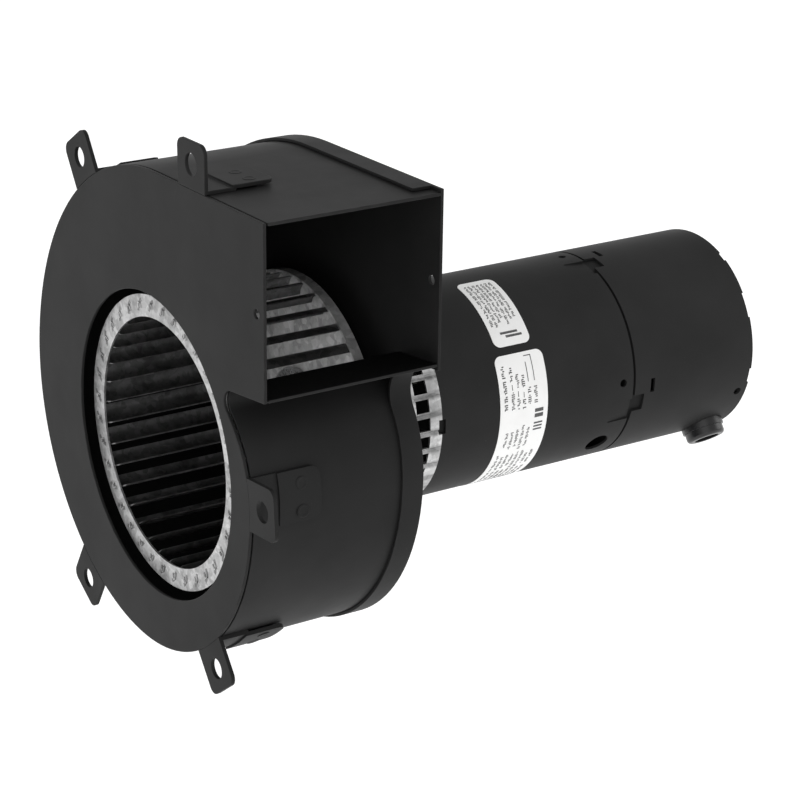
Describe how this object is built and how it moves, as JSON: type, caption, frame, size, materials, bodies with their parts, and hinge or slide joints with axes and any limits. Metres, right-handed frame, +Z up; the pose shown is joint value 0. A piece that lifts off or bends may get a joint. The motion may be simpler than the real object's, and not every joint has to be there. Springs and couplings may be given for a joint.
{
  "type": "combustion fan",
  "caption": "Draft inducer with a black sheet-metal scroll, side outlet, galvanised squirrel-cage wheel, bracket ears and a long cylindrical motor.",
  "frame": {"origin": "on the fan's axis, at the outer face of the front plate, in the centre of the inlet", "axes": "+X points out of the outlet, +Y runs from the inlet along the shaft to the motor's end, +Z is up, away from the bushing side"},
  "size_m": [0.1873, 0.2548, 0.213],
  "materials": {
    "black_paint": "satin black paint over pressed steel",
    "galvanised_steel": "galvanised sheet, mottled grey spangle",
    "machined_steel": "ground and turned steel",
    "zinc_steel": "zinc-plated fasteners",
    "laminated_steel": "stacked electrical steel",
    "cast_aluminium": "as cast",
    "bronze": "sintered bronze",
    "copper_wire": "varnished copper winding",
    "felt": "oiled wool felt",
    "black_plastic": "moulded black nylon",
    "paper_label": null
  },
  "bodies": {
    "housing": {"front_plate": "black_paint", "scroll_wrap": "black_paint", "rear_pan": "black_paint", "bracket_top": "black_paint", "bracket_right": "black_paint", "bracket_bottom": "black_paint", "bracket_lower_left": "black_paint", "bracket_upper_left": "black_paint", "vent_ring": "galvanised_steel", "motor_shell": "black_paint", "front_end_bracket": "black_paint", "rear_end_bracket": "black_paint", "rear_cover": "black_paint", "end_cap": "black_paint", "upper_label": "paper_label", "lower_label": "paper_label", "wire_bushing": "black_plastic", "front_bearing": "bronze", "rear_bearing": "bronze", "oil_felts": "felt", "felt_retainers": "zinc_steel", "stator_core": "laminated_steel", "stator_windings": "copper_wire", "thermal_protector": "black_plastic", "through_bolts": "zinc_steel", "through_bolt_nuts": "zinc_steel", "capacitor_clip": "zinc_steel", "capacitor": "cast_aluminium"},
    "rotor": {"shaft": "machined_steel", "rotor_core": "laminated_steel", "rotor_cage": "cast_aluminium", "thrust_collars": "machined_steel", "cooling_fan": "black_plastic", "wheel_blades": "galvanised_steel", "wheel_inlet_ring": "galvanised_steel", "wheel_back_plate": "galvanised_steel", "wheel_hub": "machined_steel", "hub_rivets": "machined_steel", "set_screw": "machined_steel"}
  },
  "joints": [
    {"name": "shaft_spin", "type": "hinge", "parent": "housing", "child": "rotor", "pos_m": [0, 0, 0], "axis": [0, 1, 0], "continuous": true}
  ]
}
